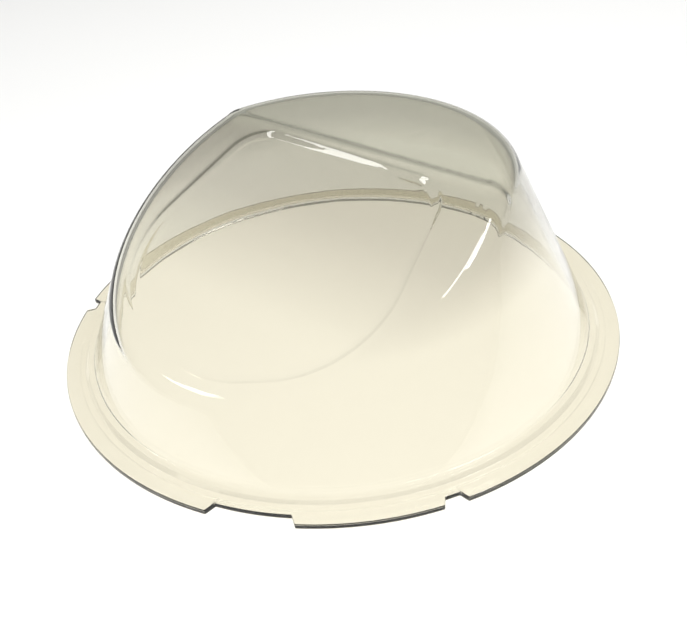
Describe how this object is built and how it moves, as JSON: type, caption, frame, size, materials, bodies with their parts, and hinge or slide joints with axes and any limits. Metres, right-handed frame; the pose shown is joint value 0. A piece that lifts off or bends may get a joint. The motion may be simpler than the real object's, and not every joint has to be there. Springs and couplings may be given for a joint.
{
  "type": "washing machine door glass",
  "caption": "Clear pressed-glass bowl for a front-loading washing machine door, with a slanted recessed face, a locating shoulder and a flat notched rim.",
  "frame": {"origin": "centre of the rim's flat underside, on the plane that the glass stands on, mouth down", "axes": "+Z along the bowl's axis from the mouth to its flat top, and the slanted face falls towards -Y"},
  "size_m": [0.33, 0.3299, 0.108],
  "materials": {
    "clear_glass": "clear fire-polished pressed soda-lime glass with a faint grey-green edge tint"
  },
  "bodies": {
    "root": {"door_glass": "clear_glass"}
  },
  "joints": []
}
